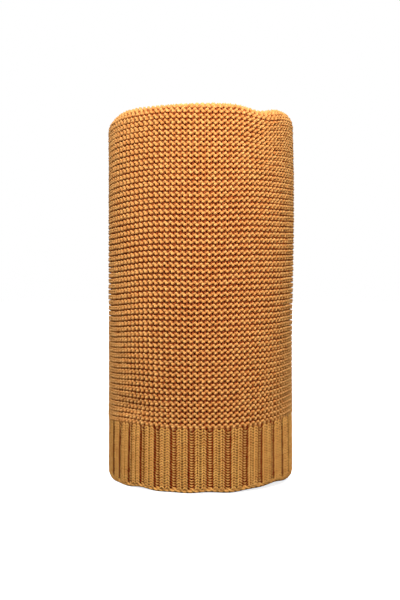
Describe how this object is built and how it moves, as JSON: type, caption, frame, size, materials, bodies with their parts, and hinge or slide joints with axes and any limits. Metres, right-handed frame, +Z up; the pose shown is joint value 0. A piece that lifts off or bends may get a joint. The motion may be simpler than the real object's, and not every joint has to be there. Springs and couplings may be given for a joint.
{
  "type": "rolled knitted blanket",
  "caption": "Knitted cot blanket in plain garter ridges with ribbed end borders, folded in layers and rolled up into an upright bundle; the free end peels off the roll.",
  "frame": {"origin": "middle of the base, on the surface that the roll stands on", "axes": "+Z up along the roll, front of the roll towards -Y, free end at the back left"},
  "size_m": [0.1295, 0.138, 0.25],
  "materials": {
    "garter_knit": "matt knitted wool and cotton yarn",
    "rib_knit": "matt knitted wool and cotton yarn",
    "edge_chain": "matt knitted wool and cotton yarn"
  },
  "bodies": {
    "roll": {"front_garter_panel": "garter_knit", "front_rib_border": "rib_knit", "front_bound_edge": "edge_chain", "second_garter_panel": "garter_knit", "second_rib_border": "rib_knit", "second_cast_on_edge": "edge_chain", "third_garter_panel": "garter_knit", "back_garter_panel": "garter_knit", "outer_top_fold": "garter_knit", "inner_top_fold": "garter_knit", "bottom_fold": "garter_knit"},
    "outer_turn": {"outer_turn_front_garter_panel": "garter_knit", "outer_turn_front_rib_border": "rib_knit", "outer_turn_front_bound_edge": "edge_chain", "outer_turn_second_garter_panel": "garter_knit", "outer_turn_second_rib_border": "rib_knit", "outer_turn_second_cast_on_edge": "edge_chain", "outer_turn_third_garter_panel": "garter_knit", "outer_turn_back_garter_panel": "garter_knit", "outer_turn_outer_top_fold": "garter_knit", "outer_turn_inner_top_fold": "garter_knit", "outer_turn_bottom_fold": "garter_knit"},
    "free_end": {"free_end_front_garter_panel": "garter_knit", "free_end_front_rib_border": "rib_knit", "free_end_front_bound_edge": "edge_chain", "free_end_second_garter_panel": "garter_knit", "free_end_second_rib_border": "rib_knit", "free_end_second_cast_on_edge": "edge_chain", "free_end_third_garter_panel": "garter_knit", "free_end_back_garter_panel": "garter_knit", "free_end_outer_top_fold": "garter_knit", "free_end_inner_top_fold": "garter_knit", "free_end_bottom_fold": "garter_knit"}
  },
  "joints": [
    {"name": "outer_turn_peel", "type": "hinge", "parent": "roll", "child": "outer_turn", "pos_m": [-0.06256, 0.01726, 0.125], "axis": [0, 0, 1], "range_deg": [0, 80]},
    {"name": "free_end_peel", "type": "hinge", "parent": "outer_turn", "child": "free_end", "pos_m": [-0.03742, 0.05502, 0.125], "axis": [0, 0, 1], "range_deg": [0, 40]}
  ],
  "couplings": [
    {"joint": "free_end_peel", "follows": "outer_turn_peel", "ratio": 0.5}
  ]
}
